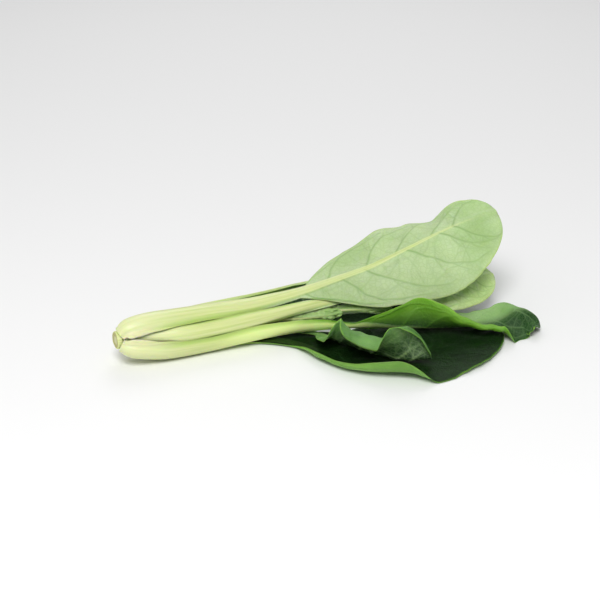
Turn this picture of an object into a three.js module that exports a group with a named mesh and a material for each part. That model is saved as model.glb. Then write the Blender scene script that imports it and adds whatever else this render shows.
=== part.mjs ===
// One head of choy sum lying on its side, as trimmed for sale.
// Millimetres, +Z up. The cut stem is at -X, the leaf tips are at +X and z = 0 is what it rests on.
// A leaf and its stalk are one closed shell, swept along a curved rib.

import * as THREE from 'three';
import { mergeVertices } from 'three/addons/utils/BufferGeometryUtils.js';

// ---------------------------------------------------------------------------
// Driving dimensions
// ---------------------------------------------------------------------------

const AXIS_HEIGHT = 12;          // height of the bundle's axis above the surface
const CUT_HEIGHT = 14.5;         // its height at the cut face
const AXIS_LEVEL = 40;           // where it has come down
const BLADE_THICK = 0.8;         // thickness of a leaf blade
const STALK_STEPS = 8;           // stations along a stalk
const BLADE_STEPS = 18;          // stations along a blade
const RIB_STEPS = 2;             // points across half a rib
const SIDE_STEPS = 4;            // points from the rib to the edge of the blade
const ARC_STEPS = 60;            // steps that add up the cross-section's bend
const CURVE_STEPS = 400;         // samples that measure a rib's length
const ROUND_OUT = 1.15;          // share of the rib's half thickness on its outer face
const ROUND_IN = 0.85;           // share on its inner face
const FLOOR_SINK = 0.7;          // how far a resting rib is pressed flat
const FLOOR_SOFT = 1;            // height over which a blade eases onto the surface
const FOLD_ZONE = 0.12;          // share of a half blade over which it folds at the rib
const HOOK_FROM = 0.6;           // share of a half blade where its edge starts to roll
const RUFFLE_FROM = 0.2;         // share of a half blade where its waves start
const RUFFLE_GROWTH = 1.7;       // how steeply the waves grow towards the edge
const RUFFLE_ENDS = 0.7;         // how quickly they rise and fade along the blade
const INNER_RIB_TO = 1 / 3;      // place along the blade where the inner face has lost its rib
const TIP_SPACING = 1.35;        // over 1 sets the blade's stations closer near the tip
const STALK_SPACING = 0.1;       // sets the stalk's stations closer at both of its ends

// Cut stem: radius at each distance from the cut face.
const STEM_PROFILE = [[0, 4.2], [0.5, 4.5], [2.1, 4.5], [3.9, 2.7], [6.3, 2.3], [8.3, 0.5]];
const STEM_SIDES = 28;

// Three rings of leaves. A stalk starts on its ring: [x, distance from the axis].
// widths and thicks are shares of the stalk's full size along the stalk, sheath is the thin
// wing beside it in millimetres along the whole leaf, and wrap is how the section bends.
const RINGS = {
  outer: {
    start: [[1.2, 5.5], [3.8, 7.9], [10.5, 10.2], [25, 11.2], [48, 11.1]],
    widths: [[0, 0.62], [0.08, 0.86], [0.25, 1], [0.6, 0.95], [1, 0.74]],
    thicks: [[0, 0.34], [0.08, 0.7], [0.25, 1], [0.6, 0.9], [1, 0.62]],
    sheath: [[0, 2.2], [0.02, 3.4], [0.045, 3.5], [0.09, 1.7], [0.15, 0.7], [0.2, 0.5]],
    wrap: [[0, 0, 0, 62, 62], [0.04, 0, 0, 62, 62], [0.12, 0, 0, 38, 38], [0.25, 0, 0, 18, 18]],
  },
  inner: {
    start: [[4.5, 3.9], [10, 5.1], [20, 7.1], [34, 9.6], [50, 10.7]],
    widths: [[0, 0.5], [0.1, 0.66], [0.3, 0.96], [0.6, 0.88], [1, 0.6]],
    thicks: [[0, 0.36], [0.1, 0.58], [0.3, 0.9], [0.6, 0.9], [1, 0.62]],
    sheath: [[0, 1], [0.04, 1.3], [0.12, 0.9], [0.2, 0.5]],
    wrap: [[0, 0, 0, 66, 66], [0.05, 0, 0, 66, 66], [0.14, 0, 0, 40, 40], [0.28, 0, 0, 18, 18]],
  },
  heart: {
    start: [[9, 2], [18, 2.7], [34, 3.6], [52, 4.2]],
    widths: [[0, 0.5], [0.1, 0.66], [0.3, 0.96], [0.6, 0.94], [1, 0.66]],
    thicks: [[0, 0.36], [0.1, 0.58], [0.3, 0.9], [0.6, 0.92], [1, 0.62]],
    sheath: [[0, 0.4]],
    wrap: [[0, 0, 0, 30, 30], [0.3, 0, 0, 20, 20]],
  },
};

// The rib's taper along the blade.
const RIB_TAPER = [[0, 1], [0.25, 0.58], [0.5, 0.36], [0.75, 0.2], [1, 0.1]];

// Leaves.
//   around   place on the ring in degrees: 0 faces -Y, 90 faces up
//   rib      [x, y, z, roll, lean] after the ring: roll turns the outer face as around does,
//            lean tips it back along X
//   stalk    full width and thickness
//   half     widest half blade on the upper and the lower side
//   outline  for each side: where it is widest, how it grows, how round the tip is, and where
//            it starts if that is not at the blade's start
//   bends    [place, fold up, fold low, curl up, curl low, hook up, hook low] in degrees
//            towards the inner face, place runs from 0 at the base to 1 at the tip
//   waves    [side, height, count, phase, from, to] of the edge, along the blade
const UP = 0;
const LOW = 1;
const HEART_BENDS = [
  [0.45, 15, 15, 60, 60], [0.6, 15, 15, 150, 150], [0.85, 15, 15, 140, 140], [1, 10, 10, 60, 60],
];
const HEART_WAVES = [[UP, 0.9, 5.4, 0.6, 0, 1], [LOW, 0.9, 6.1, 0.3, 0, 1]];
const HEART_OUTLINE = [[0.4, 0.8, 4], [0.4, 0.8, 4]];
const LEAVES = {
  leaf_top: {
    ring: 'outer', around: 74.6, stalk: [10.6, 5.2], bladeFrom: 0.38, half: [27, 35],
    rib: [
      [78, -2.8, 21.7, 67], [106, -4, 24.2, 69], [128, -5.5, 28.3, 70], [147, -8, 32.9, 69],
      [165, -10, 39.4, 67], [195, -12, 49.5, 66], [212, -12, 53, 65], [226, -11, 55, 64],
    ],
    outline: [[0.5, 0.75, 2.6, 0.14], [0.68, 1.6, 1.8]],
    bends: [
      [0.36, 2, 2, 8, 8], [0.5, 8, 12, 8, 6], [0.6, 6, 17, 6, 10], [0.7, 8, 17, 8, 12],
      [0.79, 17, 18, 19, 12], [0.86, 23, 14, 25, 14], [0.95, 6, 10, 8, 12], [1, 0, 5, 0, 10],
    ],
    waves: [[UP, 1, 2.6, 0.1, 0, 1], [LOW, 1.4, 2.2, 0.6, 0.1, 1], [LOW, 0.6, 5, 0.2, 0.2, 1]],
    colour: 0xb4cf91,
  },
  leaf_middle: {
    ring: 'inner', around: 18.2, stalk: [7.8, 4.6], bladeFrom: 0.47, half: [27, 21],
    rib: [
      [80, -11, 16.5, 24], [104, -11, 18, 30], [130, -11, 18.3, 42], [160, -13.5, 21, 54],
      [190, -17, 22, 66], [222, -18, 19, 68],
    ],
    outline: [[0.6, 1.4, 2.1], [0.75, 4.5, 2.1]],
    bends: [
      [0.47, 2, 2, 8, 8], [0.6, 14, -4, 10, -4], [0.72, 14, 2, 10, 6], [0.85, 12, 14, 10, 10],
      [1, 5, 5, 5, 5],
    ],
    waves: [[UP, 1.2, 2.1, 0.1, 0, 1], [LOW, 1.4, 2.7, 0.5, 0, 1]],
    colour: 0xa6c586,
  },
  leaf_low: {
    ring: 'outer', around: -36, stalk: [10.3, 5.2], bladeFrom: 0.45, half: [18, 17],
    rib: [
      [78, -11.8, 8, -28], [106, -18, 9.1, -27], [130, -30, 9.6, -48], [150, -38.5, 8.2, -74],
      [172, -45, 6.8, -88], [190, -50, 6.4, -90], [205, -53, 8, -92], [214, -54, 11.6, -92, 10],
      [221, -55, 10.8, -92, 35], [226, -57, 6.4, -92, 70], [227, -59, 1.2, -92, 95],
    ],
    outline: [[0.55, 1.9, 12], [0.8, 1.5, 5]],
    bends: [
      [0.45, 4, 4, 8, 8], [0.57, 42, 0, 24, 0, -30, 0], [0.63, 54, 0, 22, 4, -40, 0],
      [0.675, 66, 0, 20, 4, -30, 0], [0.725, 46, 4, 30, 6, 20, 0], [0.775, 24, 8, 30, 10, 80, 0],
      [0.83, 6, 0, 20, 0, 130, 0], [0.86, -4, -4, 10, -4, 110, 0], [0.885, -28, -4, -24, -6, 0, 0],
      [0.94, -34, -4, -24, -8, 0, 0], [1, -34, -4, -10, -8, 0, 0],
    ],
    waves: [[UP, 4, 1.85, 0.53, 0.05, 0.95], [LOW, 1.6, 2.5, 0.3, 0.1, 1]],
    colour: 0x5f8f3c,
  },
  leaf_floor: {
    ring: 'inner', around: -92, stalk: [9.8, 4.8], bladeFrom: 0.38, half: [38, 41],
    rib: [
      [74, -4, 1.6, -92], [90, -15, 1.8, -92], [107, -39, 1.8, -92], [128, -53, 1.6, -92],
      [160, -57, 1.8, -90], [181, -55, 2.2, -90], [203, -51, 2.6, -88],
    ],
    outline: [[0.57, 2.2, 1.15], [0.74, 0.5, 3.4]],
    bends: [
      [0.38, 0, 0, 4, 0], [0.5, 2, -1, 4, 0, 85, 0], [0.67, 2, 0, 4, 0, 80, 0],
      [0.74, 0, 0, 0, 0, 0, 0], [1, 0, 0, 0, 0],
    ],
    waves: [[UP, 1.5, 3.6, 0.55, 0.02, 0.85], [LOW, 1.2, 2.6, 0.3, 0.2, 1]],
    colour: 0x47702f,
  },
  leaf_back_low: {
    ring: 'outer', around: -152, stalk: [10.4, 5.2], bladeFrom: 0.42, half: [42, 18],
    rib: [
      [78, 12, 6.2, -144], [106, 19, 4, -118], [140, 26, 2.4, -98], [180, 34, 1.6, -92],
      [222, 39, 3, -92],
    ],
    outline: [[0.55, 0.7, 2.2], [0.5, 0.5, 2.2]],
    bends: [[0.45, 0, 0, 4, 4], [0.7, 2, 6, 8, 0], [1, 0, 0, 0, 0]],
    waves: [[UP, 2, 2.4, 0.6, 0, 1], [LOW, 1.6, 2.3, 0.3, 0, 1]],
    colour: 0x4f7a36,
  },
  leaf_back_top: {
    ring: 'inner', around: 136, stalk: [9.8, 5], bladeFrom: 0.44, half: [20, 26],
    rib: [
      [80, 10, 18.8, 140], [106, 16, 18, 132], [140, 24, 16.5, 118], [180, 29, 18.5, 112],
      [216, 32, 21, 108], [246, 33, 23, 106],
    ],
    outline: [[0.6, 1.4, 2.2], [0.6, 1.4, 2.2]],
    bends: [[0.45, 0, 0, 4, 4], [0.7, 4, 16, 8, 8], [1, 4, 10, 0, 0]],
    waves: [[UP, 1.6, 2.4, 0.6, 0, 1], [LOW, 1.8, 2.1, 0.3, 0, 1]],
    colour: 0x6a9a4d,
  },
  leaf_curled: {
    ring: 'heart', around: -98, stalk: [4.6, 2.6], bladeFrom: 0.59, half: [28, 9],
    rib: [
      [74, -1, 7, -94], [91, -5, 5, -92], [108, -16, 3.7, -92], [118, -37, 3.9, -92],
      [126, -57, 4.4, -92], [136, -69, 4.4, -90], [147, -75.5, 5.8, -88],
    ],
    outline: [[0.62, 0.8, 3.2], [0.5, 1.2, 3]],
    bends: [
      [0.59, 0, 0, 10, 10], [0.7, 42, 8, -10, 5, -60, 0], [0.75, 58, 8, 10, 5, 0, 0],
      [0.805, 85, 8, -60, 5, -120, 0], [0.865, 88, 8, -60, 5, -130, 0],
      [0.895, 80, 8, -20, 5, -20, 0], [0.94, 108, 8, -20, 5, -120, 0],
      [0.975, 108, 5, -20, 5, -130, 0], [1, 90, 5, -20, 5, -150, 0],
    ],
    waves: [[UP, 1.5, 2.6, 0, 0.02, 1], [LOW, 1, 2.3, 0.5, 0.05, 1]],
    colour: 0x5d8c3f,
  },
  heart_front: {
    ring: 'heart', around: 10, stalk: [4.6, 2.6], bladeFrom: 0.45, half: [7, 7],
    rib: [
      [66, -5.5, 11.6, 5], [80, -7, 11.2, 5], [92, -8.8, 11.8, 5], [104, -12.4, 11.9, 5],
      [114, -16.4, 12.7, 5], [124, -19, 13.8, 5],
    ],
    outline: HEART_OUTLINE, bends: HEART_BENDS, waves: HEART_WAVES,
    colour: 0x93b16c,
  },
  heart_back: {
    ring: 'heart', around: 140, stalk: [4.6, 2.6], bladeFrom: 0.45, half: [8, 8],
    rib: [
      [74, 3, 15, 100], [98, -2, 13.2, 60], [116, -8.5, 12.4, 30], [130, -16, 13.4, 15],
      [142, -20.5, 13.2, 5], [153, -23, 12, 0],
    ],
    outline: HEART_OUTLINE, bends: HEART_BENDS, waves: HEART_WAVES,
    colour: 0x93b16c,
  },
};
const STEM_COLOUR = 0xc3cb86;
const LEAF_ROUGHNESS = 0.55;

// ---------------------------------------------------------------------------
// Small helpers
// ---------------------------------------------------------------------------

const { clamp, degToRad, lerp } = THREE.MathUtils;

// Value at a place in [[place, value, value, ...], ...], eased from key to key.
// A column that a key leaves out is 0.
function eased(keys, place, column = 1) {
  let i = 0;
  while (i < keys.length - 2 && place > keys[i + 1][0]) i += 1;
  const from = keys[i];
  const to = keys[Math.min(i + 1, keys.length - 1)];
  const span = to[0] - from[0];
  const t = span > 0 ? clamp((place - from[0]) / span, 0, 1) : 0;
  return lerp(from[column] ?? 0, to[column] ?? 0, t * t * (3 - 2 * t));
}

// Height of the bundle's axis at a distance from the cut face.
function axisHeight(x) {
  const t = clamp(x / AXIS_LEVEL, 0, 1);
  return lerp(CUT_HEIGHT, AXIS_HEIGHT, t * t * (3 - 2 * t));
}

// A point on one of the rings around the bundle's axis, as a rib point.
function ringPoint([x, distance], around) {
  const angle = degToRad(around);
  const y = -distance * Math.cos(angle);
  const z = axisHeight(x) + distance * Math.sin(angle);
  return [x, y, z, around];
}

// Half blade width as a share of its widest, along runs along the blade.
function bladeShare([widest, growth, tipRound, start = 0], along) {
  const t = clamp((along - start) / (1 - start), 0, 1);
  if (t < widest) return Math.sin((Math.PI / 2) * (t / widest)) ** growth;
  return Math.sqrt(Math.max(0, 1 - ((t - widest) / (1 - widest)) ** tipRound));
}

// Height of the middle surface, eased onto the lowest height that it can have.
function rested(z, lowest) {
  const above = z - lowest;
  if (above <= -FLOOR_SOFT) return lowest;
  if (above >= FLOOR_SOFT) return z;
  return lowest + (above + FLOOR_SOFT) ** 2 / (4 * FLOOR_SOFT);
}

// ---------------------------------------------------------------------------
// Leaf
// ---------------------------------------------------------------------------

// Places along the leaf, 0 at the base and 1 at the tip.
function stations(bladeFrom) {
  const places = [];
  for (let i = 0; i < STALK_STEPS; i += 1) {
    const t = i / STALK_STEPS;
    places.push(bladeFrom * (t - STALK_SPACING * Math.sin(2 * Math.PI * t)));
  }
  for (let i = 0; i <= BLADE_STEPS; i += 1) {
    const t = i / BLADE_STEPS;
    places.push(bladeFrom + (1 - bladeFrom) * (1 - (1 - t) ** TIP_SPACING));
  }
  return places;
}

// The rib as a curve with its arc length, and the turn of its outer face along it.
function makeRib(leaf) {
  const points = [...RINGS[leaf.ring].start.map((p) => ringPoint(p, leaf.around)), ...leaf.rib];
  const vectors = points.map(([x, y, z]) => new THREE.Vector3(x, y, z));
  const curve = new THREE.CatmullRomCurve3(vectors, false, 'centripetal');
  curve.arcLengthDivisions = CURVE_STEPS;
  const turns = points.map(([, , , roll, lean = 0], i) => [i / (points.length - 1), roll, lean]);
  return { curve, turns };
}

// Position, direction, outer normal and sideways direction of the rib at a place.
function ribFrame(rib, place) {
  const t = rib.curve.getUtoTmapping(place);
  const along = rib.curve.getTangent(t);
  const roll = degToRad(eased(rib.turns, t, 1));
  const lean = degToRad(eased(rib.turns, t, 2));
  const outward = new THREE.Vector3(
    -Math.sin(lean),
    -Math.cos(roll) * Math.cos(lean),
    Math.sin(roll) * Math.cos(lean),
  );
  outward.addScaledVector(along, -outward.dot(along)).normalize();
  const sideways = new THREE.Vector3().crossVectors(along, outward);
  return { point: rib.curve.getPoint(t), outward, sideways };
}

// One half of the cross-section: [distance out, distance in] for each distance from the rib.
function halfSection(leaf, side, place, distances, width) {
  const keys = [...RINGS[leaf.ring].wrap, ...leaf.bends];
  const fold = degToRad(eased(keys, place, 1 + side));
  const curl = degToRad(eased(keys, place, 3 + side));
  const hook = degToRad(eased(keys, place, 5 + side));
  const walk = [[0, 0]];
  for (let i = 0; i < ARC_STEPS; i += 1) {
    const share = (i + 0.5) / ARC_STEPS;
    const turn = fold * Math.min(share / FOLD_ZONE, 1) + curl * share
      + hook * Math.max((share - HOOK_FROM) / (1 - HOOK_FROM), 0);
    const [out, inward] = walk[i];
    walk.push([
      out + (Math.cos(turn) * width) / ARC_STEPS,
      inward + (Math.sin(turn) * width) / ARC_STEPS,
    ]);
  }
  return distances.map((distance) => {
    const step = (distance / width) * ARC_STEPS;
    const i = Math.min(Math.floor(step), ARC_STEPS - 1);
    return [
      lerp(walk[i][0], walk[i + 1][0], step - i),
      lerp(walk[i][1], walk[i + 1][1], step - i),
    ];
  });
}

// Height of the waves at the edge of the blade.
function waveHeight(leaf, side, along, share) {
  let height = 0;
  for (const [waveSide, size, count, phase, from, to] of leaf.waves) {
    if (waveSide !== side) continue;
    const inside = clamp((along - from) / (to - from), 0, 1);
    const window = Math.max(Math.sin(Math.PI * inside), 0) ** RUFFLE_ENDS;
    const reach = clamp((share - RUFFLE_FROM) / (1 - RUFFLE_FROM), 0, 1) ** RUFFLE_GROWTH;
    height += size * window * reach * Math.sin(2 * Math.PI * (count * along + phase));
  }
  return height;
}

// The row of middle-surface points at one place, from the upper edge to the lower edge.
function leafRow(leaf, rib, place) {
  const ring = RINGS[leaf.ring];
  const stalkPlace = clamp(place / leaf.bladeFrom, 0, 1);
  const along = clamp((place - leaf.bladeFrom) / (1 - leaf.bladeFrom), 0, 1);
  let taper = 0;
  for (let i = 0; i < RIB_TAPER.length - 1; i += 1) {
    const [from, value] = RIB_TAPER[i];
    const [to, next] = RIB_TAPER[i + 1];
    if (along >= from) taper = lerp(value, next, (along - from) / (to - from));
  }
  const ribWidth = (leaf.stalk[0] / 2) * eased(ring.widths, stalkPlace) * taper;
  const ribThick = (leaf.stalk[1] / 2) * eased(ring.thicks, stalkPlace) * taper;
  const { point, outward, sideways } = ribFrame(rib, place);
  const row = [];
  for (const side of [UP, LOW]) {
    const blade = leaf.half[side] * bladeShare(leaf.outline[side], along);
    const width = Math.max(blade, ribWidth + eased(ring.sheath, place));
    const distances = [];
    for (let i = 0; i <= RIB_STEPS; i += 1) distances.push((ribWidth * i) / RIB_STEPS);
    for (let i = 1; i <= SIDE_STEPS; i += 1) {
      distances.push(lerp(ribWidth, width, i / SIDE_STEPS));
    }
    const section = halfSection(leaf, side, place, distances, width);
    const direction = side === UP ? -1 : 1;
    const points = section.map(([out, inward], i) => {
      const rise = inward + waveHeight(leaf, side, along, distances[i] / width);
      const middle = point.clone()
        .addScaledVector(sideways, direction * out)
        .addScaledVector(outward, -rise);
      const bump = Math.sqrt(Math.max(0, 1 - (distances[i] / ribWidth) ** 2));
      const half = BLADE_THICK / 2;
      const outer = half + Math.max(ribThick * ROUND_OUT - half, 0) * bump;
      const innerFade = clamp(1 - along / INNER_RIB_TO, 0, 1);
      const inner = half + Math.max(ribThick * ROUND_IN - half, 0) * bump * innerFade;
      middle.z = rested(middle.z, Math.max(outer - FLOOR_SINK, BLADE_THICK / 2));
      return { middle, outer, inner };
    });
    if (side === UP) row.push(...points.reverse());
    else row.push(...points.slice(1));
  }
  return row;
}

// Outer normal of the middle surface, from its neighbours in the grid.
function surfaceNormal(rows, i, j) {
  const last = rows.length - 1;
  const edge = rows[0].length - 1;
  const along = rows[Math.min(i + 1, last)][j].middle.clone()
    .sub(rows[Math.max(i - 1, 0)][j].middle);
  const across = rows[i][Math.min(j + 1, edge)].middle.clone()
    .sub(rows[i][Math.max(j - 1, 0)].middle);
  return across.cross(along).normalize();
}

// A closed shell around the middle surface: inner face, outer face and the rim between them.
function leafGeometry(leaf) {
  const rib = makeRib(leaf);
  const rows = stations(leaf.bladeFrom).map((place) => leafRow(leaf, rib, place));
  const across = rows[0].length;
  const faceSize = rows.length * across;
  const positions = new Float32Array(faceSize * 2 * 3);
  rows.forEach((row, i) => row.forEach(({ middle, outer, inner }, j) => {
    const normal = surfaceNormal(rows, i, j);
    const inside = middle.clone().addScaledVector(normal, -inner);
    const outside = middle.clone().addScaledVector(normal, outer);
    inside.z = Math.max(inside.z, 0);
    outside.z = Math.max(outside.z, 0);
    inside.toArray(positions, (i * across + j) * 3);
    outside.toArray(positions, (faceSize + i * across + j) * 3);
  }));

  const indices = [];
  const at = (i, j, face) => face * faceSize + i * across + j;
  const quad = (a, b, c, d) => indices.push(a, b, c, a, c, d);
  const lastRow = rows.length - 1;
  const lastColumn = across - 1;
  for (let i = 0; i < lastRow; i += 1) {
    for (let j = 0; j < lastColumn; j += 1) {
      quad(at(i, j, 0), at(i + 1, j, 0), at(i + 1, j + 1, 0), at(i, j + 1, 0));
      quad(at(i, j, 1), at(i, j + 1, 1), at(i + 1, j + 1, 1), at(i + 1, j, 1));
    }
    quad(at(i, 0, 0), at(i, 0, 1), at(i + 1, 0, 1), at(i + 1, 0, 0));
    quad(at(i, lastColumn, 0), at(i + 1, lastColumn, 0), at(i + 1, lastColumn, 1), at(i, lastColumn, 1));
  }
  for (let j = 0; j < lastColumn; j += 1) {
    quad(at(0, j, 0), at(0, j + 1, 0), at(0, j + 1, 1), at(0, j, 1));
    quad(at(lastRow, j, 0), at(lastRow, j, 1), at(lastRow, j + 1, 1), at(lastRow, j + 1, 0));
  }
  const geometry = new THREE.BufferGeometry();
  geometry.setAttribute('position', new THREE.BufferAttribute(positions, 3));
  geometry.setIndex(indices);
  return geometry;
}

// ---------------------------------------------------------------------------
// Cut stem
// ---------------------------------------------------------------------------

// A solid of revolution about X with its cut face at x = 0.
function stemGeometry() {
  const end = STEM_PROFILE[STEM_PROFILE.length - 1][0];
  const profile = STEM_PROFILE.map(([x, radius]) => new THREE.Vector2(radius, end - x));
  profile.unshift(new THREE.Vector2(0, end));
  profile.push(new THREE.Vector2(0, 0));
  const lathe = new THREE.LatheGeometry(profile.reverse(), STEM_SIDES);
  lathe.deleteAttribute('normal');
  lathe.deleteAttribute('uv');
  const solid = mergeVertices(lathe);
  solid.rotateZ(Math.PI / 2);
  solid.translate(end, 0, CUT_HEIGHT);
  return solid;
}

// ---------------------------------------------------------------------------
// Head
// ---------------------------------------------------------------------------

function addPiece(group, name, geometry, colour) {
  const material = new THREE.MeshStandardMaterial({
    color: colour, roughness: LEAF_ROUGHNESS, metalness: 0,
  });
  geometry.computeVertexNormals();
  const mesh = new THREE.Mesh(geometry, material);
  mesh.name = name;
  group.add(mesh);
}

const head = new THREE.Group();
addPiece(head, 'stem_base', stemGeometry(), STEM_COLOUR);
for (const [name, leaf] of Object.entries(LEAVES)) {
  addPiece(head, name, leafGeometry(leaf), leaf.colour);
}

// The origin is at the middle of the bottom of the whole head's box.
const box = new THREE.Box3().setFromObject(head);
head.position.set(-(box.min.x + box.max.x) / 2, -(box.min.y + box.max.y) / 2, -box.min.z);

export default head;
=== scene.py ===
"""One head of choy sum lying on its side: the looks of every leaf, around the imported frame.

The leaves are worked out in millimetres in the head's own axes: the cut face is at x = 0, the
bundle's axis at y = 0 and the surface it lies on at z = 0. Their shapes follow the solids, with
veins, puckers and thin edges added. They go to the frame's metres at the end.
"""
import math

import bpy
import numpy as np
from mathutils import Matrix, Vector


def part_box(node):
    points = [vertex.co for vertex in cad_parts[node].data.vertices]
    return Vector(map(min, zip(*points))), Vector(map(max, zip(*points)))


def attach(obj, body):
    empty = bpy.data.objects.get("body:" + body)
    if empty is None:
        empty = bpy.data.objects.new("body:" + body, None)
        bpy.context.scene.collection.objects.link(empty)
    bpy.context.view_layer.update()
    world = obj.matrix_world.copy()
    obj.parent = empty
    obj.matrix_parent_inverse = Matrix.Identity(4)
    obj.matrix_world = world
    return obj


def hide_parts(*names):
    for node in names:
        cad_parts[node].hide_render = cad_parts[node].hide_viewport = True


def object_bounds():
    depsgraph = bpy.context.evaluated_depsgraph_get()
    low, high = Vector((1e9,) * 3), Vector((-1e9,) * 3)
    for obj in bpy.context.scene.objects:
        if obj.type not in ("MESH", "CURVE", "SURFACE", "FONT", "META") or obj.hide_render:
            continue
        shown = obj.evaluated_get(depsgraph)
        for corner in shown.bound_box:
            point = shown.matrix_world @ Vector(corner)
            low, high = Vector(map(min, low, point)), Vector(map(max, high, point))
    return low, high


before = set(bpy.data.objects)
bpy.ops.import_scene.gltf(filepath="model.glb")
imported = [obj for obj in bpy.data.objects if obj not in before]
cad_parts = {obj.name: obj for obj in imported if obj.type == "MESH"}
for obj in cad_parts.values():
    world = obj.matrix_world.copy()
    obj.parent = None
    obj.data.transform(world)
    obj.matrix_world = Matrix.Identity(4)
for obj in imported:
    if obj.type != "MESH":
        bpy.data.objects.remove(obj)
CAD_BOX = [list(corner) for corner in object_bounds()]

# ------------------------------------------------------------
# Sizes of the head, in millimetres and degrees, as in the solids
# ------------------------------------------------------------

AXIS_HEIGHT = 12          # height of the bundle's axis above the surface
CUT_HEIGHT = 14.5         # its height at the cut face
AXIS_LEVEL = 40           # where it has come down
ARC_STEPS = 60            # steps that add up the cross-section's bend
CURVE_STEPS = 400         # samples that measure a rib's length
ROUND_OUT = 1.15          # share of the rib's half thickness on its outer face
ROUND_IN = 0.85           # share on its inner face
FLOOR_SINK = 0.7          # how far a resting rib is pressed flat
FLOOR_SOFT = 1            # height over which a blade eases onto the surface
FOLD_ZONE = 0.12          # share of a half blade over which it folds at the rib
HOOK_FROM = 0.6           # share of a half blade where its edge starts to roll
RUFFLE_FROM = 0.2         # share of a half blade where its waves start
RUFFLE_GROWTH = 1.7       # how steeply the waves grow towards the edge
RUFFLE_ENDS = 0.7         # how quickly they rise and fade along the blade
INNER_RIB_TO = 1 / 3      # place along the blade where the inner face has lost its rib
TIP_SPACING = 1.35        # over 1 sets the blade's rows closer near the tip
STALK_SPACING = 0.1       # sets the stalk's rows closer at both of its ends

# Three rings of leaves. A stalk starts on its ring: (x, distance from the axis).
# widths and thicks are shares of the stalk's full size along the stalk, sheath is the thin wing
# beside it along the whole leaf, and wrap is how the section bends.
RINGS = {
    "outer": {
        "start": [(1.2, 5.5), (3.8, 7.9), (10.5, 10.2), (25, 11.2), (48, 11.1)],
        "widths": [(0, 0.62), (0.08, 0.86), (0.25, 1), (0.6, 0.95), (1, 0.74)],
        "thicks": [(0, 0.34), (0.08, 0.7), (0.25, 1), (0.6, 0.9), (1, 0.62)],
        "sheath": [(0, 2.2), (0.02, 3.4), (0.045, 3.5), (0.09, 1.7), (0.15, 0.7), (0.2, 0.5)],
        "wrap": [(0, 0, 0, 62, 62), (0.04, 0, 0, 62, 62), (0.12, 0, 0, 38, 38),
                 (0.25, 0, 0, 18, 18)],
    },
    "inner": {
        "start": [(4.5, 3.9), (10, 5.1), (20, 7.1), (34, 9.6), (50, 10.7)],
        "widths": [(0, 0.5), (0.1, 0.66), (0.3, 0.96), (0.6, 0.88), (1, 0.6)],
        "thicks": [(0, 0.36), (0.1, 0.58), (0.3, 0.9), (0.6, 0.9), (1, 0.62)],
        "sheath": [(0, 1), (0.04, 1.3), (0.12, 0.9), (0.2, 0.5)],
        "wrap": [(0, 0, 0, 66, 66), (0.05, 0, 0, 66, 66), (0.14, 0, 0, 40, 40),
                 (0.28, 0, 0, 18, 18)],
    },
    "heart": {
        "start": [(9, 2), (18, 2.7), (34, 3.6), (52, 4.2)],
        "widths": [(0, 0.5), (0.1, 0.66), (0.3, 0.96), (0.6, 0.94), (1, 0.66)],
        "thicks": [(0, 0.36), (0.1, 0.58), (0.3, 0.9), (0.6, 0.92), (1, 0.62)],
        "sheath": [(0, 0.4)],
        "wrap": [(0, 0, 0, 30, 30), (0.3, 0, 0, 20, 20)],
    },
}
RIB_TAPER = [(0, 1), (0.25, 0.58), (0.5, 0.36), (0.75, 0.2), (1, 0.1)]

# Leaves, with the same entries as the solids:
#   around     place on the ring in degrees: 0 faces -Y, 90 faces up
#   rib        (x, y, z, roll, lean) after the ring
#   stalk      full width and thickness
#   half       widest half blade on the upper and the lower side
#   outline    for each side: where it is widest, how it grows, how round the tip is, and where
#              it starts if that is not at the blade's start
#   bends      (place, fold up, fold low, curl up, curl low, hook up, hook low)
#   waves      (side, height, count, phase, from, to) of the edge, along the blade
# and those that only the looks need:
#   skin       material, detail: grid size, veins: side veins on each side
#   pucker     height of the blisters between the veins, crinkle: height of the wrinkles
UP, LOW = 0, 1
HEART = {
    "ring": "heart", "stalk": (4.6, 2.6), "blade_from": 0.45,
    "outline": [(0.4, 0.8, 4), (0.4, 0.8, 4)],
    "bends": [
        (0.45, 15, 15, 60, 60), (0.6, 15, 15, 150, 150), (0.85, 15, 15, 140, 140),
        (1, 10, 10, 60, 60),
    ],
    "waves": [(UP, 0.9, 5.4, 0.6, 0, 1), (LOW, 0.9, 6.1, 0.3, 0, 1)],
    "skin": "young", "detail": "small", "veins": 7, "pucker": 0.5,
}
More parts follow.
